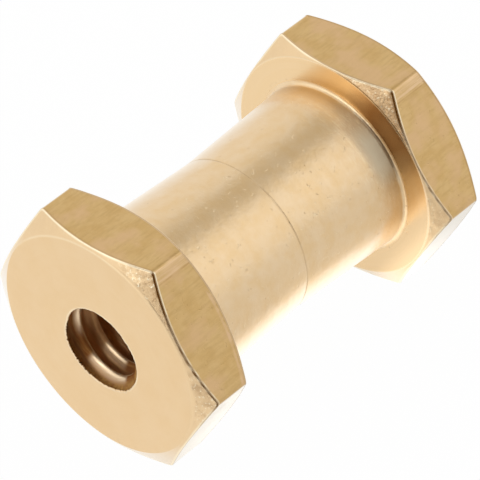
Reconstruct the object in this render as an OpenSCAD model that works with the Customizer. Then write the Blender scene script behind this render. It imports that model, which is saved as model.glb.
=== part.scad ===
// Thread adapter: one turned piece of hexagonal brass bar.
// Two short hexagonal ends, each chamfered on both sides, are joined by a
// waist that narrows in a straight taper from each end to its middle.
// Each end face has a threaded hole on the axis. The two holes meet inside, and
// both are modelled at their tapped (minor) diameter.
// Millimetres. The piece lies on one hexagon flat, its axis along X, the
// smaller hole facing -X. The origin is under the middle, at the lowest face.

/* [Body] */
// Distance across the flats of the hexagonal bar
across_flats = 15.875; // [14:0.005:20]
// Radius of the bar's drawn corners
bar_corner_radius = 0.4; // [0.1:0.05:1]
// Length from end face to end face
body_length = 25.4; // [20:0.1:40]
// Length of the hexagonal end with the smaller hole
small_end_length = 4; // [3:0.05:7]
// Length of the hexagonal end with the larger hole
large_end_length = 4; // [3:0.05:7]

/* [Chamfers] */
// Diameter of the flat on each end face, inside the chamfer
face_diameter = 15.4; // [13.5:0.05:15.8]
// Diameter of the flat on each inner face, inside the chamfer
shoulder_diameter = 15.7; // [14:0.05:15.8]
// Slope of the outer chamfers from the end face, in degrees
face_chamfer_angle = 30; // [15:1:45]
// Slope of the inner chamfers from the inner face, in degrees
shoulder_chamfer_angle = 30; // [15:1:45]

/* [Waist] */
// Diameter of the waist at its middle
waist_middle_diameter = 11.1; // [10.6:0.01:13]
// Diameter of the waist where it meets the ends
waist_end_diameter = 11.85; // [11:0.01:13.5]
// Distance of the narrowest line from the middle of the length, towards the larger hole
waist_middle_offset = 0; // [-1.5:0.05:1.5]
// Radius of the fillet at each end of the waist
root_fillet = 0.27; // [0.1:0.05:1]
// Width of the fine line turned round the narrowest place
middle_line_width = 0.12; // [0.05:0.01:0.4]
// Depth of that line
middle_line_depth = 0.05; // [0.02:0.01:0.2]

/* [Smaller threaded hole] */
// Tapped (minor) diameter, for a 1/4 inch, 20 turns to the inch thread
small_hole_diameter = 5.2; // [4.5:0.01:5.6]

/* [Larger threaded hole] */
// Tapped (minor) diameter, for a 3/8 inch, 16 turns to the inch thread
large_hole_diameter = 8; // [7.4:0.01:8.3]
// Length of the threaded wall
large_hole_depth = 10; // [5:0.1:12]
// Angle of the cone its drill left at the bottom, in degrees
drill_point_angle = 118; // [90:1:140]

/* [Mouths of the holes] */
// Width of the 45 degree edge break, the same at both mouths
mouth_edge_break = 0.1; // [0.05:0.05:0.8]

/* [Hidden] */
turned_fn = 96;
eps = 0.2;
// Half the length, and the places of the inner faces along the axis
half_length = body_length / 2;
small_shoulder = -half_length + small_end_length;
large_shoulder = half_length - large_end_length;
// Distance from the axis to the centres of the hexagon's corner rounds, and
// the radius over the corners
corner_centre = (across_flats / 2 - bar_corner_radius) / cos(30);
corner_radius = corner_centre + bar_corner_radius;
// Radius of the turning blank, clear of the corners
blank_radius = corner_radius + 0.5;
// How far the chamfer cones fall between their inner circle and the blank
face_fall = (blank_radius - face_diameter / 2) * tan(face_chamfer_angle);
shoulder_fall = (blank_radius - shoulder_diameter / 2) * tan(shoulder_chamfer_angle);
// Radii of the waist
waist_end = waist_end_diameter / 2;
waist_middle = waist_middle_diameter / 2;
// Where the larger threaded wall ends, and the depth of the cone beyond it
large_wall_end = half_length - mouth_edge_break - large_hole_depth;
large_point = large_hole_diameter / 2 / tan(drill_point_angle / 2);

/* [Output] */

// Section of the drawn bar: a hexagon with rounded corners.
module bar_section() {
    circle(r = corner_centre, $fn = 6);
    for (a = [0, 60, 120])
        rotate(a + 30) square([across_flats, corner_centre], center = true);
    for (a = [0 : 60 : 300])
        rotate(a) translate([corner_centre, 0]) circle(r = bar_corner_radius, $fn = 48);
}

// One hexagonal end lying between two places along the axis, both rims chamfered.
// The outer face is at z_face and the inner face at z_shoulder.
module hex_end(z_face, z_shoulder) {
    low = min(z_face, z_shoulder);
    high = max(z_face, z_shoulder);
    low_fall = z_face < z_shoulder ? face_fall : shoulder_fall;
    high_fall = z_face < z_shoulder ? shoulder_fall : face_fall;
    low_r = z_face < z_shoulder ? face_diameter / 2 : shoulder_diameter / 2;
    high_r = z_face < z_shoulder ? shoulder_diameter / 2 : face_diameter / 2;
    intersection() {
        translate([0, 0, low]) linear_extrude(height = high - low) bar_section();
        rotate_extrude($fn = turned_fn)
            polygon([
                [0, low], [low_r, low], [blank_radius, low + low_fall],
                [blank_radius, high - high_fall], [high_r, high], [0, high]
            ]);
    }
}

// The waist in section: two straight tapers, a fillet at each end and the
// fine line at the narrowest place. It runs a little way into each end.
module waist_section() {
    z_mid = waist_middle_offset;
    small_slope = (waist_end - waist_middle) / (z_mid - small_shoulder);
    large_slope = (waist_end - waist_middle) / (large_shoulder - z_mid);
    small_tilt = atan(small_slope);
    large_tilt = atan(large_slope);
    // Centres of the fillet circles, each touching its taper and its inner face
    small_fillet_r = waist_end + root_fillet * (1 / cos(small_tilt) - small_slope);
    large_fillet_r = waist_end + root_fillet * (1 / cos(large_tilt) - large_slope);
    difference() {
        union() {
            polygon([
                [0, small_shoulder - 1], [waist_end, small_shoulder - 1],
                [waist_end, small_shoulder], [waist_middle, z_mid],
                [waist_end, large_shoulder], [waist_end, large_shoulder + 1],
                [0, large_shoulder + 1]
            ]);
            // Corner fill that the fillet circles are cut from
            polygon([
                [waist_end - 1, small_shoulder - 1], [small_fillet_r, small_shoulder - 1],
                [small_fillet_r, small_shoulder],
                [small_fillet_r - root_fillet * cos(small_tilt), small_shoulder + root_fillet * (1 - sin(small_tilt))],
                [waist_end - 1, small_shoulder + root_fillet * (1 - sin(small_tilt))]
            ]);
            polygon([
                [waist_end - 1, large_shoulder + 1], [large_fillet_r, large_shoulder + 1],
                [large_fillet_r, large_shoulder],
                [large_fillet_r - root_fillet * cos(large_tilt), large_shoulder - root_fillet * (1 - sin(large_tilt))],
                [waist_end - 1, large_shoulder - root_fillet * (1 - sin(large_tilt))]
            ]);
        }
        translate([small_fillet_r, small_shoulder + root_fillet]) circle(r = root_fillet, $fn = 64);
        translate([large_fillet_r, large_shoulder - root_fillet]) circle(r = root_fillet, $fn = 64);
        // The fine line at the narrowest place
        polygon([
            [waist_middle - middle_line_depth, z_mid],
            [waist_middle + 1, z_mid - middle_line_width / 2 * (1 + 1 / middle_line_depth)],
            [waist_middle + 1, z_mid + middle_line_width / 2 * (1 + 1 / middle_line_depth)]
        ]);
    }
}

// Material taken out by the smaller hole: edge break, then a straight threaded
// wall that runs into the bottom of the larger hole.
module small_hole() {
    rotate_extrude($fn = turned_fn)
        polygon([
            [0, -half_length - eps],
            [small_hole_diameter / 2 + mouth_edge_break + eps, -half_length - eps],
            [small_hole_diameter / 2, -half_length + mouth_edge_break],
            [small_hole_diameter / 2, large_wall_end],
            [0, large_wall_end]
        ]);
}

// Material taken out by the larger hole: edge break, threaded wall, drill cone.
module large_hole() {
    rotate_extrude($fn = turned_fn)
        polygon([
            [0, half_length + eps],
            [large_hole_diameter / 2 + mouth_edge_break + eps, half_length + eps],
            [large_hole_diameter / 2, half_length - mouth_edge_break],
            [large_hole_diameter / 2, large_wall_end],
            [0, large_wall_end - large_point]
        ]);
}

module adapter_body() {
    color([0.86, 0.70, 0.42])
    translate([0, 0, across_flats / 2])
    rotate([0, 90, 0])
    rotate([0, 0, 30])
    difference() {
        union() {
            hex_end(-half_length, small_shoulder);
            hex_end(half_length, large_shoulder);
            rotate_extrude($fn = turned_fn) waist_section();
        }
        small_hole();
        large_hole();
    }
}

adapter_body();
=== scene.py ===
"""Thread adapter: a turned hexagonal brass piece lying on a white table.

The detailed body replaces the CAD node. It is one mesh laid out in columns
round the axis (X) and rows along the piece's outline, so that every chamfer
arc, fillet and thread crest falls on a row of its own. Three masks on its
vertices tell the materials where the tools left marks (torn), where shade and
light are painted (the second mask: a painted shadow line beside the lips,
painted shade on chamfers and in the fine middle line, painted light in the
bores), and where highlights are painted on rims, lips, the burr and the
thread crests (pale).
Sizes are in millimetres until the mesh is made; MM turns them into metres.
Places round the axis are in degrees from +Y towards +Z. The near end, at -X,
has the smaller hole.
"""

import math

import bmesh
import bpy
import numpy as np
from mathutils import Matrix, Vector


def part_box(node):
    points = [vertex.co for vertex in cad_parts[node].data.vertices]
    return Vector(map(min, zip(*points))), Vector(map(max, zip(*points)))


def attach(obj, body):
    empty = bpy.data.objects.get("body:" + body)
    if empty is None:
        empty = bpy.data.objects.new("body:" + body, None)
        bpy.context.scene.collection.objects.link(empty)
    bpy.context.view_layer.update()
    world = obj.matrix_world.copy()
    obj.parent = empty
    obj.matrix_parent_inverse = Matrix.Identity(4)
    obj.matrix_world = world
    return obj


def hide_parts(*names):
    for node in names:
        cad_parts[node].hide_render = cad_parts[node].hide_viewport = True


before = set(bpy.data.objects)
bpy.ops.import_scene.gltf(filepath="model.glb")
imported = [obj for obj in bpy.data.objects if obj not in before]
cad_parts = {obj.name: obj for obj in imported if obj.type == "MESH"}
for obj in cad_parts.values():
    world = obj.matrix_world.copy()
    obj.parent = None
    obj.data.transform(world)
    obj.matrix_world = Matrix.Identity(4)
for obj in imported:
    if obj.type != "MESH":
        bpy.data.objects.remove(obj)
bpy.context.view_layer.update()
MM = 0.001

# ------------------------------------------------------------------ sizes
# The frame gives the width, height and length. The rest repeats part.scad,
# but the line round the middle is drawn a little shallower.
low, high = (np.array(c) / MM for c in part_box("adapter_body"))
HALF_LENGTH = (high[0] - low[0]) / 2
APOTHEM = (high[2] - low[2]) / 2
AXIS_HEIGHT = (high[2] + low[2]) / 2
CORNER_ROUND = 0.4
END_LENGTH = 4.0
FACE_R = 15.4 / 2
SHOULDER_R = 15.7 / 2
CHAMFER = math.radians(30)
WAIST_END_R = 11.85 / 2
WAIST_MIDDLE_R = 11.1 / 2
ROOT_FILLET = 0.27
MIDDLE_LINE = 0.12
MIDDLE_LINE_DEPTH = 0.04
DRILL_CONE = math.radians(118 / 2)
LARGE_WALL_END = 2.6  # place along X where the larger threaded wall ends
# Threads: pitch, crest (minor) radius, root (major) radius, and the place of
# the crest at the mouth, in turns
SMALL = dict(pitch=25.4 / 20, crest=2.60, root=3.175, start=-0.10)
LARGE = dict(pitch=25.4 / 16, crest=4.0, root=4.7625, start=0.2)

# Edges left by the tools
EDGE_ROUND = 0.05  # radius of the rims between faces and chamfers
RIM = 0.10  # from such a rim to the mesh's next row
FACE_RIM = 0.12  # the same, on the end faces
LIP = 0.17  # width of the disturbed strip on each side of a chamfer's edge
RAGGED = 0.012  # unevenness of the lip raised in that strip
CIRCLE_WANDER = 0.02  # how far the chamfers' circles are from round
WALL_START = 0.03  # depth below the end face where a hole's wall begins
BURR, BURR_VARIES = 0.03, 0.014  # height of the burr round a hole's mouth
BURR_WIDTH = 0.20
RUBBED = 0.86  # width of the rubbed strip beside a corner of the bar
RUBBED_EDGE = 0.25  # width of the rubbed inner edge of a flat

# The thread's profile over one turn: place counted from the middle of a crest,
# and height from the crest (0) to the root (1). The crest rises a little away
# from the mouth.
PROFILE_PLACES, PROFILE_HEIGHTS = zip(
    (-0.5, 1.0), (-0.38, 0.97), (-0.25, 0.72), (-0.155, 0.40), (-0.085, 0.18), (0.0, 0.05),
    (0.085, 0.0), (0.12, 0.14), (0.2, 0.62), (0.3, 0.88), (0.4, 0.98), (0.5, 1.0),
)
# Rows of the mesh over one turn: place from the crest's middle, how much
# painted highlight the row gets, and how far it catches the painted light from the mouth
THREAD_ROWS = [
    (-0.5, 0.35, 0.0), (-0.38, 0.1, 0.0), (-0.25, 0.0, 0.3), (-0.155, 0.0, 0.6),
    (-0.085, 0.0, 1.0), (0.0, 0.0, 1.0), (0.05, 0.6, 0.8), (0.085, 1.0, 0.8),
    (0.12, 0.6, 0.9), (0.18, 0.4, 1.0), (0.28, 0.4, 0.7), (0.38, 0.4, 0.0),
]
# Depths in a hole, each from where a change starts to where it is complete
TORN_ENDS = (0.30, 0.50)
LIGHT_ENDS = (2.5, 2.9)
TEAR_FADE = 0.12  # over which the mouth's torn edge turns into the thread
FIRST_GROOVE_ENDS = 1.4

# ----------------------------------------------------------------- columns
SIDE = math.pi / 3  # the angle that one side of the hexagon takes
CORNER_COLUMNS, FLAT_COLUMNS = 9, 45
CORNER_CENTRE = (APOTHEM - CORNER_ROUND) / math.cos(SIDE / 2)
# half the angle that a corner's round takes
CORNER_HALF = SIDE / 2 - math.atan((APOTHEM - CORNER_ROUND) * math.tan(SIDE / 2) / APOTHEM)


def hexagon_radius(angle):
    """Distance from the axis to the bar's surface, its corners rounded."""
    off_corner = np.abs((angle + SIDE / 2) % SIDE - SIDE / 2)
    flat = APOTHEM / np.cos(SIDE / 2 - off_corner)
    sideways = CORNER_CENTRE * np.sin(off_corner)
    arc = CORNER_CENTRE * np.cos(off_corner) + np.sqrt(np.maximum(CORNER_ROUND**2 - sideways**2, 0))
    return np.where(off_corner < CORNER_HALF, arc, flat)


corner_end = math.degrees(CORNER_HALF)
one_side = np.concatenate([
    np.linspace(-corner_end, corner_end, CORNER_COLUMNS),
    np.linspace(corner_end, 60 - corner_end, FLAT_COLUMNS)[1:-1],
])
ANGLE = np.radians(np.concatenate([side * 60 + one_side for side in range(6)]))
COLUMNS = len(ANGLE)
ONES = np.ones(COLUMNS)
ZEROS = np.zeros(COLUMNS)
BAR_R = hexagon_radius(ANGLE)


# ------------------------------------------- values that vary round the axis
def waves(seed, fewest, most, count=14):
    """Smooth noise, mostly from -1 to 1, that closes on itself: a sum of
    waves, each with a number of periods from fewest to most."""
    random = np.random.RandomState(seed)
    periods = random.randint(fewest, most + 1, count)
    phases = random.uniform(0, 2 * math.pi, count)
    sizes = random.uniform(0.4, 1.0, count)
    combined = sum(s * np.cos(k * ANGLE + p) for s, k, p in zip(sizes, periods, phases))
    return combined / (0.5 * sizes.sum())


def smooth_band(value, a, b):
    """0 below a, 1 above b, smooth between."""
    t = np.clip((value - a) / (b - a), 0, 1)
    return t * t * (3 - 2 * t)


def around(middle, full, edge):
    """1 within full degrees of a place round the axis, 0 beyond edge."""
    away = np.abs((np.degrees(ANGLE) - middle + 180) % 360 - 180)
    return 1 - smooth_band(away, full, edge)


# ------------------------------------------------------------- the outline
FACE, CHAMFERED, DRAWN, SHOULDER, WAIST, BORE = range(6)


def beside_edge(at, towards, distance):
    """A place on the surface some way from an edge, towards a neighbour. On
    a very short surface it comes nearer, so that the rows never cross."""
    length = np.hypot(towards[0] - at[0], towards[1] - at[1])
    share = np.minimum(distance / length, 0.45 * distance / LIP)
    return at[0] + (towards[0] - at[0]) * share, at[1] + (towards[1] - at[1]) * share


def corner_ends(before, at, after, radius):
    """Where the round of a corner touches the lines on its two sides."""
    ux, ur = before[0] - at[0], before[1] - at[1]
    vx, vr = after[0] - at[0], after[1] - at[1]
    ul, vl = np.hypot(ux, ur), np.hypot(vx, vr)
    inner = np.arccos(np.clip((ux * vx + ur * vr) / (ul * vl), -1, 1))
    cut = np.minimum(radius / np.tan(inner / 2), 0.45 * np.minimum(ul, vl))
    return (
        (at[0] + ux / ul * cut, at[1] + ur / ul * cut),
        (at[0] + vx / vl * cut, at[1] + vr / vl * cut),
    )


class Outline:
    """Rows of the mesh, each an array over the columns: place along X,
    radius, the zone of the faces that lead up to it, and its masks."""

    def __init__(self):
        self.x, self.r, self.zone, self.masks = [], [], [], []

    def row(self, x, r, zone, torn=0.0, seam=0.0, pale=0.0):
        self.x.append(x * ONES)
        self.r.append(r * ONES)
        self.zone.append(zone)
        self.masks.append((torn * ONES, seam * ONES, pale * ONES))

    def line(self, a, b, steps, zone, **masks):
        """Rows that divide the way from a to b, without a itself."""
        for i in range(1, steps + 1):
            t = i / steps
            self.row(a[0] + (b[0] - a[0]) * t, a[1] + (b[1] - a[1]) * t, zone, **masks)

    def corner(self, before, at, after, radius, steps, zone, **masks):
        """A rounded corner; returns where the next line starts."""
        first, last = corner_ends(before, at, after, radius)
        for i in range(1, steps + 1):
            t = i / steps
            a, b, c = (1 - t) ** 2, 2 * t * (1 - t), t * t
            self.row(
                a * first[0] + b * at[0] + c * last[0],
                a * first[1] + b * at[1] + c * last[1],
                zone, **masks,
            )
        return last

    def rim(self, before, at, after, zone, next_zone, pale):
        """A small rounded edge with a painted highlight line along it, and the row
        beyond it; returns where the next line starts."""
        first, _ = corner_ends(before, at, after, EDGE_ROUND)
        self.row(*first, zone, pale=pale)
        self.corner(before, at, after, EDGE_ROUND, 3, zone, pale=pale)
        start = beside_edge(at, after, RIM)
        self.row(*start, next_zone)
        return start

    def lip(self, before, at, after, ragged, torn, cut):
        """The edge between a chamfer and a flat. On the way from the end face
        the radius grows up to the edge and the flat is after it; on the way
        to the inner face the flat is before it. Where cut is 1 the tool has
        cut a small groove on the chamfer's side, in which a dark line is painted
        as shade, and the raised lip on the flat's side gets a painted highlight.
        Elsewhere the painted highlight is on the chamfer, and a faint painted
        shadow line lies on the flat's side."""
        outward = after[1][0] >= at[1][0]
        chamfer, flat = (before, after) if outward else (after, before)
        plain = 1 - cut
        # the painted shadow line is wider near 124 and 143 degrees
        wide = np.maximum(around(124, 5, 13), 0.5 * around(143, 12, 22))
        rows = [  # distance from the edge, + on the flat; dent; torn; painted shade; painted highlight
            (-LIP, 0, torn, 0.5 * cut * wide, 0),
            (-0.12, 0, torn, cut * (0.3 + 0.7 * wide), plain * 0.5),
            (-0.06, 0.04 * cut, torn, cut, plain),
            (-0.02, 0.03 * cut, 0, cut, plain),
            (0.03, -0.012 - ragged, 0, 0.5 * cut + 0.2 * plain, 0.3 * cut),
            (0.07, -0.010 - ragged, 0, 0.3 * plain, cut),
            (0.12, -0.004, 0, 0.1 * plain, 0.8 * cut),
            (LIP, 0, 0, 0, 0),
        ]
        for away, dent, row_torn, seam, pale in rows if outward else reversed(rows):
            x, r = beside_edge(at, flat if away > 0 else chamfer, abs(away))
            zone = DRAWN if away > 0.1 else CHAMFERED
            self.row(x, r - dent, zone, torn=row_torn, seam=seam, pale=pale)


def end_outline(sign, mouth_r, seed, face_torn, shoulder_torn, face_cut, shoulder_cut, flat_rubbed):
    """Rows of one end, from its hole's edge to the line round the middle.
    sign is -1 for the near end and 1 for the far one. Torn and cut masks are
    for the chamfers of the end face and of the inner face (the shoulder)."""
    out = Outline()

    def place(depth, radius):
        """A place on the outline at a depth below the end face."""
        return sign * (HALF_LENGTH - depth) * ONES, radius * ONES

    face_r = FACE_R + CIRCLE_WANDER * waves(seed, 1, 5)
    shoulder_r = SHOULDER_R + CIRCLE_WANDER * waves(seed + 1, 1, 5)
    front = (BAR_R - face_r) * math.tan(CHAMFER)
    back = END_LENGTH - (BAR_R - shoulder_r) * math.tan(CHAMFER)
    ragged = RAGGED * waves(seed + 2, 20, 90, 30)

    # the tap has pushed up a small burr round the hole, which gets a painted highlight, weaker towards
    # 285 degrees
    burr = BURR + BURR_VARIES * waves(seed + 3, 5, 40)
    shine = (0.55 + 0.45 * waves(seed + 4, 2, 12)) * (1 - 0.75 * around(285, 55, 85))
    out.row(*place(WALL_START, mouth_r), FACE, pale=0.3)
    for away, rise, pale in ((0.04, 1, shine), (0.09, 0.7, shine), (0.15, 0, 0), (BURR_WIDTH, 0, 0)):
        out.row(*place(-burr * rise, mouth_r + away), FACE, pale=pale)

    mouth = place(0.0, mouth_r + BURR_WIDTH)
    face_edge = place(0.0, face_r)
    front_edge = place(front, BAR_R)
    back_edge = place(back, BAR_R)
    shoulder_edge = place(END_LENGTH, shoulder_r)
    root = place(END_LENGTH, WAIST_END_R)
    middle = place(HALF_LENGTH, WAIST_MIDDLE_R)

    # end face and its chamfer
    # painted highlight along the rim between the face and its chamfer, strongest near 75 degrees
    ring_shine = 0.05 + 0.40 * around(75, 20, 50)
    out.line(mouth, beside_edge(face_edge, mouth, FACE_RIM), 8, FACE)
    last = out.rim(mouth, face_edge, front_edge, FACE, CHAMFERED, ring_shine)
    chamfer_end = beside_edge(front_edge, face_edge, LIP)
    # painted shade on the chamfer beside the cut
    out.line(last, chamfer_end, 6, CHAMFERED, torn=face_torn, seam=0.16 * face_cut)
    out.lip(face_edge, front_edge, back_edge, ragged, face_torn, face_cut)
    # the flat of the bar, rubbed along its inner edge on one side
    flat_start = beside_edge(front_edge, back_edge, LIP)
    flat_end = beside_edge(back_edge, front_edge, LIP)
    rubbed = beside_edge(flat_end, flat_start, RUBBED_EDGE)
    out.line(flat_start, rubbed, 8, DRAWN)
    out.line(rubbed, flat_end, 3, DRAWN, torn=flat_rubbed)
    out.lip(front_edge, back_edge, shoulder_edge, ragged, shoulder_torn, shoulder_cut)
    # inner chamfer and inner face
    chamfer_start = beside_edge(back_edge, shoulder_edge, LIP)
    # painted shade on the inner chamfer beside the cut, darker near 129 degrees
    chamfer_shade = shoulder_cut * (0.12 + 0.16 * around(129, 7, 20))
    out.line(chamfer_start, beside_edge(shoulder_edge, back_edge, RIM), 5, CHAMFERED,
             torn=shoulder_torn, seam=chamfer_shade)
    # the inner rim gets a painted highlight line too
    last = out.rim(back_edge, shoulder_edge, root, CHAMFERED, SHOULDER, 0.3)
    fillet_start, _ = corner_ends(shoulder_edge, root, middle, ROOT_FILLET)
    out.line(last, (fillet_start[0], fillet_start[1] + 0.05), 8, SHOULDER)
    out.row(*fillet_start, SHOULDER)
    # the fillet, and the taper up to the edge of the fine line at the middle
    last = out.corner(shoulder_edge, root, middle, ROOT_FILLET, 8, WAIST)
    taper = (WAIST_END_R - WAIST_MIDDLE_R) / (HALF_LENGTH - END_LENGTH)
    fillet_end, line_edge = abs(last[0][0]), MIDDLE_LINE / 2
    for away, steps in (
        (fillet_end - 0.05, 1), (line_edge + 0.08, 12), (line_edge + 0.02, 1), (line_edge, 1),
    ):
        beside = place(HALF_LENGTH - away, WAIST_MIDDLE_R + taper * away)
        out.line(last, beside, steps, WAIST)
        last = beside
    return out


# ------------------------------------------------------------ mesh building
vertices, faces, face_zone, masks = [], [], [], []


def add_rows(xs, rs, row_masks=None):
    """Adds rows of vertices and returns the number of the first one."""
    first = len(vertices)
    for i, (x, r) in enumerate(zip(xs, rs)):
        torn, seam, pale = row_masks[i] if row_masks else (ZEROS, ZEROS, ZEROS)
        for c in range(COLUMNS):
            vertices.append((
                x[c],
                r[c] * math.cos(ANGLE[c]),
                AXIS_HEIGHT + r[c] * math.sin(ANGLE[c]),
            ))
            masks.append((torn[c], seam[c], pale[c]))
    return first


def join_rows(first, count, zones, shift=0):
    """Faces between the rows. A helical surface meets itself shift rows
    further on, which is negative where it runs the other way round."""
    for j in range(count - 1):
        for c in range(COLUMNS):
            n = (c + 1) % COLUMNS
            jump = shift * COLUMNS if n == 0 else 0
            a, b = first + j * COLUMNS + c, first + (j + 1) * COLUMNS + c
            d, e = first + j * COLUMNS + n + jump, first + (j + 1) * COLUMNS + n + jump
            if first <= d and e < first + count * COLUMNS:
                faces.append((a, d, e, b))
                face_zone.append(zones[j])


def add_outline(out):
    """Adds the rows of an outline and returns the first vertex of the last."""
    first = add_rows(out.x, out.r, out.masks)
    join_rows(first, len(out.x), out.zone[1:])
    return first + (len(out.x) - 1) * COLUMNS


def bridge(a, b, zone):
    """Faces between two rows that start at vertices a and b."""
    for c in range(COLUMNS):
        n = (c + 1) % COLUMNS
        faces.append((a + c, a + n, b + n, b + c))
        face_zone.append(zone)


# ----------------------------------------------------------------- threads
def thread_turn(sign):
    """How many turns a right-hand thread has made at each column. Seen along
    the same axis, the far one runs the other way round."""
    turn = ANGLE / (2 * math.pi)
    return turn if sign < 0 else 1.0 - turn


def thread_radius(turns, thread):
    """Radius of the thread's surface, turns counted from a crest's middle."""
    place = (turns + 0.5) % 1.0 - 0.5
    depth = thread["root"] - thread["crest"]
    return thread["crest"] + depth * np.interp(place, PROFILE_PLACES, PROFILE_HEIGHTS)


def plain_mouth(thread, sign):
    """Radius at which the thread itself would reach the end face."""
    return thread_radius(WALL_START / thread["pitch"] - thread["start"] - thread_turn(sign), thread)


def mouth_radius(thread, sign, seed):
    """Radius of the chipped edge of a hole, which follows the thread."""
    chips = np.maximum(waves(seed, 9, 60, 24), -0.3) * 0.035 + 0.02
    chips += around(290, 60, 85) * np.maximum(waves(seed + 9, 40, 120, 30), 0) * 0.20
    chips += 0.11 * around(200, 25, 60) - 0.08
    return plain_mouth(thread, sign) + chips


def add_thread(thread, sign, length, mouth_r):
    """The threaded wall of one hole, its rows lying along the helix.
    Returns its radius at the inner end."""
    pitch, start = thread["pitch"], thread["start"]
    turn = thread_turn(sign)
    # where the wall catches the painted light: in the first groove, and beyond it
    first_lit, next_lit = around(270, 30, 39), around(285, 15, 24)
    # painted light along the crest of the first groove, round 15 degrees
    lit_crest = 0.9 * around(375, 12, 48)
    xs, rs, row_masks = [], [], []
    for n in range(-2, int(math.ceil(length / pitch)) + 3):
        for step, highlight, lit in THREAD_ROWS:
            depth = (start + (n + step) + turn) * pitch
            inside = np.clip(depth, WALL_START, length)
            place = inside / pitch - start - turn
            r = thread_radius(place, thread)
            # the torn edge fades out just inside the mouth
            fade = np.exp(-((inside - WALL_START) / TEAR_FADE) ** 2)
            rs.append(r + fade * (mouth_r - plain_mouth(thread, sign)))
            xs.append(sign * (HALF_LENGTH - inside))
            # dragged by the tap near the mouth; painted light further in
            torn = 1 - smooth_band(inside, *TORN_ENDS)
            first_groove = inside < FIRST_GROOVE_ENDS
            lit_place = np.where(first_groove, first_lit, next_lit)
            if -0.2 < step < 0.1:  # the crest
                lit_place = np.maximum(lit_place, lit_crest * first_groove)
            lit_here = lit * (1 - torn) * lit_place * (1 - smooth_band(inside, *LIGHT_ENDS))
            row_masks.append((torn, lit_here, highlight * (1 - torn)))
    first = add_rows(xs, rs, row_masks)
    shift = len(THREAD_ROWS) if sign < 0 else -len(THREAD_ROWS)
    join_rows(first, len(xs), [BORE] * len(xs), shift)
    return rs[-1]


# --------------------------------------------------------- the whole surface
small_mouth = mouth_radius(SMALL, -1, 5)
large_mouth = mouth_radius(LARGE, 1, 6)

# how deep the tool tore the edge, from the corner at 120 degrees to the next. It also sets how strong
# the painted shadow line, the painted shade beside it and the painted highlight on the lip are.
cut_line = around(152, 31.5, 32.5) * (
    0.62 + 0.5 * around(125, 8, 16) + 0.45 * waves(21, 12, 80, 20) * around(160, 25, 33)
).clip(0, 1)
near_last = add_outline(end_outline(
    -1, small_mouth, 11,
    face_torn=np.maximum(around(129, 9, 26), 0.8 * around(180, 6, 18)) + 0.1,
    shoulder_torn=0.1 * ONES,
    face_cut=cut_line,
    shoulder_cut=ZEROS,
    flat_rubbed=around(160, 18, 24),
))
far_last = add_outline(end_outline(
    1, large_mouth, 31,
    face_torn=0.1 * ONES,
    shoulder_torn=np.maximum(around(122, 14, 30), 0.4 * around(180, 6, 18)) + 0.1,
    face_cut=ZEROS,
    shoulder_cut=cut_line * (0.6 + 0.4 * around(125, 6, 12)),
    flat_rubbed=ZEROS,
))
# the fine line turned round the narrowest place, with painted shade in it
line_shade = 0.16 + 0.14 * waves(41, 2, 30)
groove = add_rows([ZEROS], [(WAIST_MIDDLE_R - MIDDLE_LINE_DEPTH) * ONES], [(ZEROS, line_shade, ZEROS)])
bridge(near_last, groove, WAIST)
bridge(groove, far_last, WAIST)

# the two holes, and the drill's cone between them
cone_length = (LARGE["crest"] - SMALL["crest"]) / math.tan(DRILL_CONE)
cone_start = LARGE_WALL_END - cone_length
small_end = add_thread(SMALL, -1, HALF_LENGTH + cone_start, small_mouth)
large_end = add_thread(LARGE, 1, HALF_LENGTH - LARGE_WALL_END, large_mouth)
shares = np.linspace(0, 1, 7)
cone = add_rows([(cone_start + cone_length * t) * ONES for t in shares],
                [small_end + (large_end - small_end) * t for t in shares])
join_rows(cone, len(shares), [BORE] * len(shares))

# ------------------------------------------------------------ make the mesh
mesh = bpy.data.meshes.new("adapter")
mesh.from_pydata([tuple(c * MM for c in v) for v in vertices], [], faces)
mesh.polygons.foreach_set("material_index", face_zone)
for i, name in enumerate(("torn", "seam", "pale")):
    layer = mesh.attributes.new(name, "FLOAT", "POINT")
    layer.data.foreach_set("value", np.array([m[i] for m in masks], dtype=np.float32))
work = bmesh.new()
work.from_mesh(mesh)
bmesh.ops.remove_doubles(work, verts=work.verts, dist=0.0005 * MM)
bmesh.ops.dissolve_degenerate(work, edges=work.edges, dist=0.0002 * MM)
bmesh.ops.recalc_face_normals(work, faces=work.faces)
work.to_mesh(mesh)
work.free()
mesh.polygons.foreach_set("use_smooth", [True] * len(mesh.polygons))
adapter = bpy.data.objects.new("adapter", mesh)
bpy.context.scene.collection.objects.link(adapter)
weighted = adapter.modifiers.new("weighted", "WEIGHTED_NORMAL")
weighted.mode = "FACE_AREA"
weighted.weight = 90


# ----------------------------------------------------------------- colours
def rgb(red, green, blue):
    return (red, green, blue, 1)


def grey(level):
    return rgb(level, level, level)


BRASS = rgb(0.82, 0.59, 0.325)  # freshly turned
BRASS_PALE = rgb(0.84, 0.62, 0.365)
BRASS_SCUFFED = rgb(0.85, 0.645, 0.405)
BRASS_BRIGHT = rgb(1.0, 0.875, 0.63)  # lighter brass: painted highlights on lips and rims, painted glints, painted light on the waist, and light tool marks
GRAZING_SHEEN = rgb(1.0, 0.97, 0.90)  # painted sheen: brass is painted whiter where it is seen edge-on
# painted shade along the top of the root
ROOT_SHADE = rgb(0.60, 0.40, 0.19)
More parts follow.
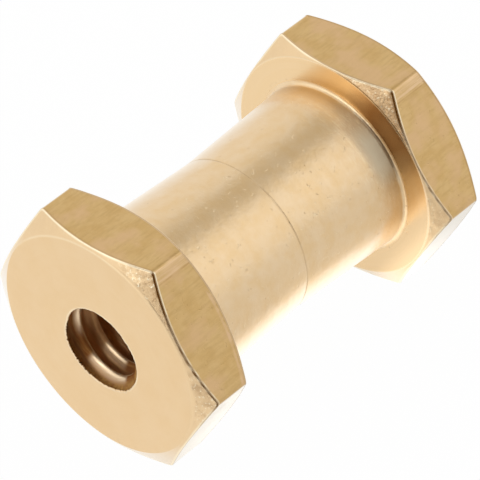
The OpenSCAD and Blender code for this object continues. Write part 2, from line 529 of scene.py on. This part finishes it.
# painted shade on one side of the inner faces
SHOULDER_SHADE = rgb(0.41, 0.205, 0.07)
DRAWN_DEEP = rgb(0.655, 0.43, 0.175)  # skin of the drawn bar
DRAWN_LIGHT = rgb(0.73, 0.505, 0.23)
DRAWN_PINK = rgb(0.75, 0.50, 0.27)
DRAWN_STREAK = rgb(0.55, 0.355, 0.135)
DRAWN_RUBBED = rgb(0.85, 0.60, 0.36)
DRAWN_WORN = rgb(0.80, 0.55, 0.33)
SCRATCH_BROWN = rgb(0.45, 0.24, 0.10)
TORN_BROWN = rgb(0.46, 0.29, 0.15)
# painted shade: the dark line beside the lips, and the shade on chamfers and in the fine middle line
PAINTED_SHADE = rgb(0.21, 0.085, 0.012)
# painted shade of the bore
BORE_SHADE = rgb(0.24, 0.085, 0.022)
# painted light deeper in the bore
BORE_DEEP_LIGHT = rgb(0.62, 0.34, 0.15)
BORE_TORN = rgb(0.50, 0.28, 0.085)
BORE_LIGHT = rgb(1.0, 0.80, 0.54)


# ------------------------------------------------------------------- nodes
class Nodes:
    """A little shorthand for building a node tree."""

    def __init__(self, owner):
        owner.use_nodes = True
        self.tree = owner.node_tree
        self.tree.nodes.clear()

    def add(self, kind, inputs=None, **settings):
        node = self.tree.nodes.new(kind)
        for key, value in settings.items():
            setattr(node, key, value)
        for key, value in (inputs or {}).items():
            self.put(node.inputs[key], value)
        return node

    def put(self, socket, value):
        if isinstance(value, bpy.types.NodeSocket):
            self.tree.links.new(value, socket)
        elif isinstance(value, bpy.types.Node):
            self.tree.links.new(value.outputs[0], socket)
        else:
            socket.default_value = value

    def output(self, kind, shader):
        self.add(kind, {0: shader})

    def math(self, operation, a, b=0.0, clamp=False):
        return self.add("ShaderNodeMath", {0: a, 1: b}, operation=operation, use_clamp=clamp).outputs[0]

    def times(self, a, b, clamp=False):
        return self.math("MULTIPLY", a, b, clamp)

    def plus(self, a, b, clamp=False):
        return self.math("ADD", a, b, clamp)

    def minus(self, a, b):
        return self.math("SUBTRACT", a, b)

    def off(self, value, middle):
        """How far a value is from a middle one, either way."""
        return self.math("ABSOLUTE", self.minus(value, middle))

    def mix(self, factor, a, b):
        node = self.add("ShaderNodeMix", data_type="RGBA", blend_type="MIX")
        self.put(node.inputs[0], factor)
        self.put(node.inputs[6], a)
        self.put(node.inputs[7], b)
        return node.outputs[2]

    def span(self, value, a, b, c, d, interpolation="LINEAR"):
        """Carries the range from a to b over to the one from c to d."""
        return self.add("ShaderNodeMapRange", {0: value, 1: a, 2: b, 3: c, 4: d},
                        interpolation_type=interpolation).outputs[0]

    def noise(self, vector, scale, detail, roughness):
        return self.add(
            "ShaderNodeTexNoise",
            {"Vector": vector, "Scale": scale, "Detail": detail, "Roughness": roughness},
        ).outputs[0]

    def grain(self, axes, detail, roughness):
        """Noise over up to three coordinates, each given with its own scale."""
        scaled = {i: self.times(value, scale) for i, (value, scale) in enumerate(axes)}
        return self.noise(self.add("ShaderNodeCombineXYZ", scaled).outputs[0], 1.0, detail, roughness)

    def mask(self, name):
        """One of the masks on the mesh."""
        return self.add("ShaderNodeAttribute", attribute_name=name).outputs["Fac"]

    def vector_math(self, operation, a, b):
        return self.add("ShaderNodeVectorMath", {0: a, 1: b}, operation=operation)

    def bump(self, height):
        """Normal of a surface raised by a height in millimetres."""
        return self.add("ShaderNodeBump", {"Height": height, "Strength": 1.0, "Distance": MM}).outputs[0]


class Place:
    """Coordinates of a point on the piece in millimetres: along the axis,
    across, up from the axis, and its radius and angle round the axis."""

    def __init__(self, n):
        point = n.add("ShaderNodeTexCoord").outputs["Object"]
        self.point = n.vector_math("MULTIPLY", point, (1 / MM, 1 / MM, 1 / MM)).outputs[0]
        split = n.add("ShaderNodeSeparateXYZ", {0: self.point})
        self.x, self.y = split.outputs[0], split.outputs[1]
        self.z = n.minus(split.outputs[2], AXIS_HEIGHT)
        self.radius = n.math("SQRT", n.plus(n.times(self.y, self.y), n.times(self.z, self.z)))
        self.angle = n.math("ARCTAN2", self.z, self.y)

    def along_side(self, n, normal):
        """Distance along the flat whose normal has this angle, from the
        hexagon's corner before it."""
        a = math.radians(normal)
        from_middle = n.minus(n.times(self.z, math.cos(a)), n.times(self.y, math.sin(a)))
        return n.plus(from_middle, APOTHEM * math.tan(SIDE / 2))

    def off_angle(self, n, middle):
        """How far round, in radians, from a place given in degrees."""
        return n.off(self.angle, math.radians(middle))

    def root_patch(self, n, rise, level, middle, edge, least=0.0, stop=None):
        """A mask on the waist beside the far end. It rises to level over a
        stretch of X, falls to a least value over an edge in radians, and may
        stop over another stretch of X, short of the fillet."""
        along = n.span(self.x, *rise, 0.0, level)
        patch = n.times(along, n.span(self.off_angle(n, middle), *edge, 1.0, least))
        return n.times(patch, n.span(self.x, *stop, 1.0, 0.0)) if stop else patch


def total(n, *parts):
    """Sum of heights in millimetres, each a size and a mask."""
    height = 0.0
    for size, mask in parts:
        height = n.plus(height, n.times(mask, size))
    return height


def scratches(n, vector, scale, width):
    """Short curved scratches, thinly spread: 1 along them, 0 elsewhere."""
    line = n.span(n.off(n.noise(vector, scale, 1, 0.4), 0.5), 0.0, width, 1, 0)
    return n.times(line, n.span(n.noise(vector, scale * 1.3, 1, 0.5), 0.62, 0.68, 0, 1))


def dents(n, vector, scale, size, share):
    """Small round dents, in a share of the cells of a random grid."""
    cell = n.add("ShaderNodeTexVoronoi", {"Vector": vector, "Scale": scale})
    lot = n.add("ShaderNodeSeparateXYZ", {0: cell.outputs["Color"]}).outputs[0]
    chosen = n.span(lot, share, share + 0.01, 1, 0)
    return n.times(n.span(cell.outputs["Distance"], 0.0, size, 1, 0), chosen)


# ------------------------------------------------------------------- looks
# Each look gives a colour, a roughness, a normal and, where the surface isn't
# bare metal all over, how metallic it is.
def faced_look(n, at):
    """Facing cuts: very fine rings round the axis, and a few dents."""
    rings = n.grain([(at.radius, 3.0), (at.angle, 0.8), (at.x, 1.0)], 4, 0.65)
    cloud = n.noise(at.point, 0.5, 3, 0.6)
    colour = n.mix(n.span(cloud, 0.35, 0.65, 0.3, 1), BRASS, BRASS_PALE)
    height = total(
        n, (0.006, rings), (0.030, cloud), (-0.012, dents(n, at.point, 0.8, 0.14, 0.12)),
        (-0.008, scratches(n, at.point, 1.6, 0.03)))
    return colour, n.span(rings, 0.3, 0.7, 0.36, 0.42), n.bump(height)


def shoulder_look(n, at):
    """The inner faces are smoother, painted browner on one side as shade, and
    flecked with dirt along the root."""
    rings = n.grain([(at.radius, 5.0), (at.angle, 0.6)], 4, 0.65)
    colour = n.mix(n.span(rings, 0.3, 0.7, 0, 1), BRASS, BRASS_PALE)
    # painted shade on one side, round 131 degrees
    colour = n.mix(n.span(at.off_angle(n, 131), 0.2, 0.5, 0.9, 0), colour, SHOULDER_SHADE)
    near_root = n.span(at.radius, WAIST_END_R + 0.2, WAIST_END_R + 0.7, 1, 0)
    specks = n.plus(dents(n, at.point, 3.2, 0.40, 0.22), scratches(n, at.point, 1.6, 0.03))
    flecks = n.times(near_root, specks)
    colour = n.mix(n.times(flecks, 0.8, clamp=True), colour, TORN_BROWN)
    height = total(n, (0.003, rings), (-0.02, flecks))
    return colour, n.span(rings, 0.3, 0.7, 0.18, 0.26), n.bump(height)


def turned_look(n, at):
    """The waist: fine rings, soft unevenness, dents darkened brown, light scratches, and painted shade
    and painted light beside the larger end.
    """
    rings = n.grain([(at.x, 4.0), (at.angle, 1.2)], 4, 0.65)
    cloud = n.noise(at.point, 1.1, 4, 0.6)
    colour = n.mix(n.span(cloud, 0.35, 0.65, 0.1, 1), BRASS, BRASS_SCUFFED)
    nicks = n.math("MAXIMUM", dents(n, at.point, 1.1, 0.17, 0.12), dents(n, at.point, 2.3, 0.2, 0.07))
    lines = scratches(n, at.point, 2.2, 0.03)
    colour = n.mix(n.times(nicks, 0.35), colour, TORN_BROWN)
    # the tool chattered beside the larger end, and left it rough by the root
    coarse = at.root_patch(n, (5.5, 8.2), 1.0, 125, (0.4, 0.75), 0.1)
    chatter = n.grain([(at.x, 6.5), (at.angle, 7.0)], 3, 0.7)
    marks = n.times(n.span(chatter, 0.50, 0.64, 0, 1), coarse)
    colour = n.mix(n.math("MAXIMUM", n.times(lines, 0.3), n.times(marks, 0.6)), colour, BRASS_BRIGHT)
    # the rough side is also painted lighter: painted light
    rough_lit_side = at.root_patch(n, (6.9, 8.0), 1.0, 125, (0.15, 0.6), 0.2, stop=(8.36, 8.46))
    colour = n.mix(n.times(rough_lit_side, 0.5), colour, BRASS_BRIGHT)
    # painted shade along the top of the root
    root_shade = at.root_patch(n, (7.4, 8.2), 0.9, 76, (0.35, 0.7), stop=(8.42, 8.50))
    colour = n.mix(root_shade, colour, ROOT_SHADE)
    # painted light: a patch beside the root is painted lighter and made mostly not metallic
    lit_patch = at.root_patch(n, (6.9, 7.6), 1.0, 139, (0.14, 0.38), stop=(8.40, 8.50))
    colour = n.mix(n.times(lit_patch, 0.9), colour, BRASS_BRIGHT)
    height = total(
        n, (0.005, rings), (0.032, cloud), (0.005, n.noise(at.point, 5.0, 2, 0.6)), (-0.020, nicks),
        (-0.010, lines), (0.010, n.times(chatter, n.plus(coarse, 0.1))))
    rough = n.plus(n.span(rings, 0.3, 0.7, 0.31, 0.37), n.times(rough_lit_side, 0.45))
    return colour, rough, n.bump(height), n.minus(1.0, lit_patch)


def drawn_look(n, at):
    """Skin of the drawn bar: mottled, with faint streaks along the axis, and
    rubbed in a strip beside one corner and along one inner edge."""
    streak = n.grain([(at.x, 0.8), (at.y, 4.4), (at.z, 4.4)], 4, 0.65)
    mottle = n.noise(at.point, 0.9, 4, 0.6)
    colour = n.mix(n.span(mottle, 0.35, 0.65, 0, 1), DRAWN_DEEP, DRAWN_LIGHT)
    colour = n.mix(n.span(streak, 0.45, 0.65, 0, 0.42), colour, DRAWN_STREAK)
    colour = n.mix(n.span(n.noise(at.point, 0.55, 2, 0.5), 0.48, 0.66, 0, 0.7), colour, DRAWN_PINK)
    # the strip beside the corner, and the broken scratch that bounds it
    across = at.along_side(n, 150)
    strip = n.span(n.off(across, RUBBED / 2), RUBBED / 2 - 0.06, RUBBED / 2, 1, 0)
    fine = n.grain([(at.x, 0.3), (across, 7.0)], 3, 0.6)
    colour = n.mix(n.times(strip, n.span(fine, 0.4, 0.62, 0.1, 0.8)), colour, DRAWN_RUBBED)
    scratch = n.span(n.off(across, RUBBED + 0.03), 0.02, 0.06, 1, 0)
    broken = n.span(n.grain([(at.x, 1.2)], 2, 0.5), 0.4, 0.6, 0.1, 0.45)
    colour = n.mix(n.times(scratch, broken), colour, SCRATCH_BROWN)
    # the rubbed inner edge
    colour = n.mix(n.times(n.mask("torn"), n.span(mottle, 0.4, 0.6, 0.3, 0.7)), colour, DRAWN_WORN)
    height = total(
        n, (0.007, streak), (0.014, mottle), (-0.010, scratches(n, at.point, 2.2, 0.04)),
        (-0.014, dents(n, at.point, 1.5, 0.2, 0.10)))
    return colour, n.span(mottle, 0.3, 0.7, 0.36, 0.46), n.bump(height)


def chamfered_look(n, at):
    """The chamfers, torn rough beside some of the corners."""
    torn = n.mask("torn")
    tear = n.noise(at.point, 1.3, 3, 0.6)
    grit = n.noise(at.point, 4.5, 3, 0.7)
    # brown marks of the torn metal, which also stand in as painted shade of its bumps
    colour = n.mix(n.times(n.span(tear, 0.44, 0.68, 0, 0.6), torn), BRASS_PALE, TORN_BROWN)
    # painted glints: bright specks on the torn part
    colour = n.mix(n.times(n.span(grit, 0.58, 0.66, 0, 1), torn), colour, BRASS_BRIGHT)
    colour = n.mix(n.times(n.span(grit, 0.38, 0.32, 0, 0.6), torn), colour, TORN_BROWN)
    # the chamfers of the larger end are browner over a part beside a corner
    browned = n.times(n.span(at.off_angle(n, 105), 0.12, 0.30, 0.38, 0), n.span(at.x, 8.0, 8.5, 0, 1))
    colour = n.mix(browned, colour, TORN_BROWN)
    rough_part = n.times(n.plus(n.times(tear, 2.0), n.times(grit, 0.8)), torn)
    height = total(n, (0.045, rough_part), (0.010, tear))
    return colour, n.span(torn, 0, 1, 0.38, 0.34), n.bump(height)


def bore_look(n, at):
    """The bore is painted dark brown as shade, and lighter deeper in on its
    lower side as painted light. The tap has dragged it near the mouth. The
    crests get painted highlights, and the second mask says where painted light
    from the mouth falls."""
    torn, lit, highlight = n.mask("torn"), n.mask("seam"), n.mask("pale")
    streak = n.grain([(at.x, 7.0), (at.angle, 1.8)], 3, 0.6)
    drag = n.grain([(at.x, 1.0), (at.y, 4.0), (at.z, 4.0)], 3, 0.7)
    # painted light: lighter deeper in, on the lower side
    inward = n.span(n.math("ABSOLUTE", at.x), HALF_LENGTH - 1.0, HALF_LENGTH - 1.5, 0, 1)
    inward = n.times(inward, n.span(at.off_angle(n, -103), 0.35, 0.75, 0.1, 1))
    colour = n.mix(inward, BORE_SHADE, BORE_DEEP_LIGHT)
    colour = n.mix(n.span(streak, 0.45, 0.7, 0, 0.5), colour, BORE_TORN)
    colour = n.mix(n.times(lit, n.span(streak, 0.35, 0.6, 1, 0.65)), colour, BORE_LIGHT)
    colour = n.mix(n.times(torn, n.span(drag, 0.35, 0.6, 0.35, 1)), colour, BORE_TORN)
    # painted highlights on the crests
    colour = n.mix(n.times(highlight, 0.7), colour, BRASS)
    height = total(n, (0.004, streak), (0.03, n.times(drag, torn)))
    # away from the painted light the bore is made mostly not metallic
    return colour, 0.36, n.bump(height), n.plus(n.times(lit, 0.75), 0.25, clamp=True)


def brass(name, look, marked=True, edge_sheen=0.9):
    """A material with one look. Marked ones get the painted shade of the seams
    and the painted highlights of the rims, and a painted sheen: they are painted
    whiter, by the given share, where they are seen edge-on."""
    material = bpy.data.materials.new(name)
    n = Nodes(material)
    colour, rough, normal, *film = look(n, Place(n))
    metallic = film[0] if film else 1.0
    if marked:
        seam = n.mask("seam")
        grazing = n.add("ShaderNodeLayerWeight").outputs["Facing"]
        # painted sheen: whiter where the surface is seen edge-on
        colour = n.mix(n.span(grazing, 0.55, 0.90, 0, edge_sheen), colour, GRAZING_SHEEN)
        # painted highlights along the rims, lips and burr
        colour = n.mix(n.times(n.mask("pale"), 0.85), colour, BRASS_BRIGHT)
        # painted shade from the second mask, along the lips, on chamfers and in the middle line
        colour = n.mix(seam, colour, PAINTED_SHADE)
        # where shade is painted the surface is made mostly not metallic, so that the painted shade stays
        # brown
        metallic = n.times(metallic, n.span(seam, 0.3, 1.0, 1.0, 0.1))
        rough = n.plus(rough, n.times(seam, 0.4))
    shader = n.add("ShaderNodeBsdfPrincipled", {
        "Base Color": colour, "Roughness": rough, "Metallic": metallic, "Normal": normal,
        "Specular IOR Level": 0.0,
    })
    n.output("ShaderNodeOutputMaterial", shader)
    mesh.materials.append(material)


# in the order of the zones
brass("brass_faced", faced_look)
brass("brass_chamfered", chamfered_look)
brass("brass_drawn", drawn_look)
brass("brass_shoulder", shoulder_look)
brass("brass_turned", turned_look, edge_sheen=0.6)
brass("brass_bore", bore_look, marked=False)

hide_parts("adapter_body")
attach(adapter, "root")

# ------------------------------------------------------------------- table
TABLE_HALF = 0.6  # metres
TABLE_LEVEL = grey(0.96)
# What the metal sees of the table: place, full within and gone beyond, in
# millimetres, stretch along the piece, and colour
TABLE_SHEEN = [
    (-10, 10, 35, 100, 1.0, grey(1.12)),  # lightest beside the piece
    (25, -40, 18, 48, 1.0, grey(0.86)),  # dull on the right
    (-28, -52, 18, 42, 1.0, grey(0.30)),  # dark towards the camera
    (2, -6, 2, 4.2, 3.5, grey(1.7)),  # bright under the waist's side
    (-4, -14, 3, 7, 3.0, rgb(0.86, 0.84, 0.80)),  # a duller strip beyond that
]


def table_patch(n, spot, x, y, inner, outer, stretch):
    """1 within inner millimetres of a place on the table, 0 beyond outer."""
    place = n.vector_math("MULTIPLY", spot, (1 / stretch, 1, 1))
    away = n.vector_math("DISTANCE", place, (x / stretch * MM, y * MM, 0)).outputs["Value"]
    return n.span(away, inner * MM, outer * MM, 1.0, 0.0, "SMOOTHSTEP")


def table_material():
    """White to the camera, with the object's shadow; metal sees the sheen."""
    material = bpy.data.materials.new("white_table")
    n = Nodes(material)
    path = n.add("ShaderNodeLightPath").outputs
    spot = n.add("ShaderNodeTexCoord").outputs["Object"]
    sheen = TABLE_LEVEL
    for x, y, inner, outer, stretch, colour in TABLE_SHEEN:
        sheen = n.mix(table_patch(n, spot, x, y, inner, outer, stretch), sheen, colour)
    seen = n.mix(path["Is Camera Ray"], sheen, grey(1.0))
    glow = n.add("ShaderNodeEmission", {"Color": seen})
    matte = n.add("ShaderNodeBsdfDiffuse", {"Color": grey(0.95)})
    share = n.plus(n.times(path["Is Camera Ray"], 0.985), n.times(path["Is Glossy Ray"], 0.85))
    n.output("ShaderNodeOutputMaterial", n.add("ShaderNodeMixShader", {0: share, 1: matte, 2: glow}))
    return material


def square(half):
    return [(-half, -half, 0), (half, -half, 0), (half, half, 0), (-half, half, 0)]


table_mesh = bpy.data.meshes.new("table")
table_mesh.from_pydata(square(TABLE_HALF), [], [(0, 1, 2, 3)])
table_mesh.materials.append(table_material())
table = bpy.data.objects.new("table", table_mesh)
bpy.context.scene.collection.objects.link(table)

# -------------------------------------------------------------------- room
ROOM_LEVEL = grey(0.80)
# Azimuth and elevation, full within and gone beyond, in degrees, and colour
ROOM = [
    (60, 5, 20, 75, grey(0.97)),  # pale wall behind
    (126, 27, 10, 36, grey(1.25)),  # reflector on the left
    (2, 58, 8, 29, rgb(0.56, 0.53, 0.465)),  # gap between the lights
    (-48, 36, 24, 34, grey(1.08)),  # soft box on the right
    (-136, 42, 22, 36, rgb(0.06, 0.02, 0.005)),  # dark room behind the camera
    (-124, 6, 24, 48, rgb(0.05, 0.025, 0.01)),
    (165, 36, 12, 22, grey(2.0)),  # strip light that edges the fillet
    (172, 6, 8, 20, grey(1.35)),  # lit card in front
]


def direction(azimuth, elevation):
    a, e = math.radians(azimuth), math.radians(elevation)
    return Vector((math.cos(e) * math.cos(a), math.cos(e) * math.sin(a), math.sin(e)))


def lobe(n, towards, azimuth, elevation, inner, outer):
    """1 within inner degrees of a direction, 0 beyond outer degrees."""
    along = n.vector_math("DOT_PRODUCT", towards, direction(azimuth, elevation)).outputs["Value"]
    edges = math.cos(math.radians(outer)), math.cos(math.radians(inner))
    return n.span(along, *edges, 0.0, 1.0, "SMOOTHSTEP")


world = bpy.data.worlds.new("studio")
bpy.context.scene.world = world
n = Nodes(world)
towards = n.add("ShaderNodeTexCoord").outputs["Generated"]
room = ROOM_LEVEL
for azimuth, elevation, inner, outer, colour in ROOM:
    room = n.mix(lobe(n, towards, azimuth, elevation, inner, outer), room, colour)
path = n.add("ShaderNodeLightPath")
shown = n.mix(path.outputs["Is Camera Ray"], room, grey(1.0))
n.output("ShaderNodeOutputWorld", n.add("ShaderNodeBackground", {"Color": shown}))

# --------------------------------------------------------------- key light
KEY_DIRECTION = direction(-46, 44)
KEY_DISTANCE, KEY_SIZE = 0.6, 0.3  # metres
KEY_POWER = 0.02
key_data = bpy.data.lights.new("key", "AREA")
key_data.size = KEY_SIZE
key_data.energy = KEY_POWER
key = bpy.data.objects.new("key", key_data)
key.location = KEY_DIRECTION * KEY_DISTANCE + Vector((0, 0, AXIS_HEIGHT * MM))
key.rotation_euler = KEY_DIRECTION.to_track_quat("Z", "Y").to_euler()
bpy.context.scene.collection.objects.link(key)

# ------------------------------------------------------------------ camera
# Fitted to the photograph: degrees, and millimetres
CAMERA_AZIMUTH = -134.738
CAMERA_ELEVATION = 41.209
CAMERA_ROLL = 4.308
CAMERA_DISTANCE = 237.876
CAMERA_TARGET = Vector((-0.112, -0.073, 7.793))
LENS, SENSOR_WIDTH = 288.519, 36
camera_data = bpy.data.cameras.new("camera")
camera_data.sensor_fit = "HORIZONTAL"
camera_data.sensor_width = SENSOR_WIDTH
camera_data.lens = LENS
camera_data.clip_start = 0.01
camera = bpy.data.objects.new("camera", camera_data)
away = direction(CAMERA_AZIMUTH, CAMERA_ELEVATION)
level = Vector((0, 0, 1)).cross(away).normalized()
upright = away.cross(level)
cos_roll, sin_roll = math.cos(math.radians(CAMERA_ROLL)), math.sin(math.radians(CAMERA_ROLL))
right, upward = level * cos_roll - upright * sin_roll, upright * cos_roll + level * sin_roll
turned = Matrix((right, upward, away)).transposed().to_4x4()
camera.matrix_world = Matrix.Translation((CAMERA_TARGET + away * CAMERA_DISTANCE) * MM) @ turned
bpy.context.scene.collection.objects.link(camera)
bpy.context.scene.camera = camera
bpy.context.scene.view_settings.view_transform = "Standard"
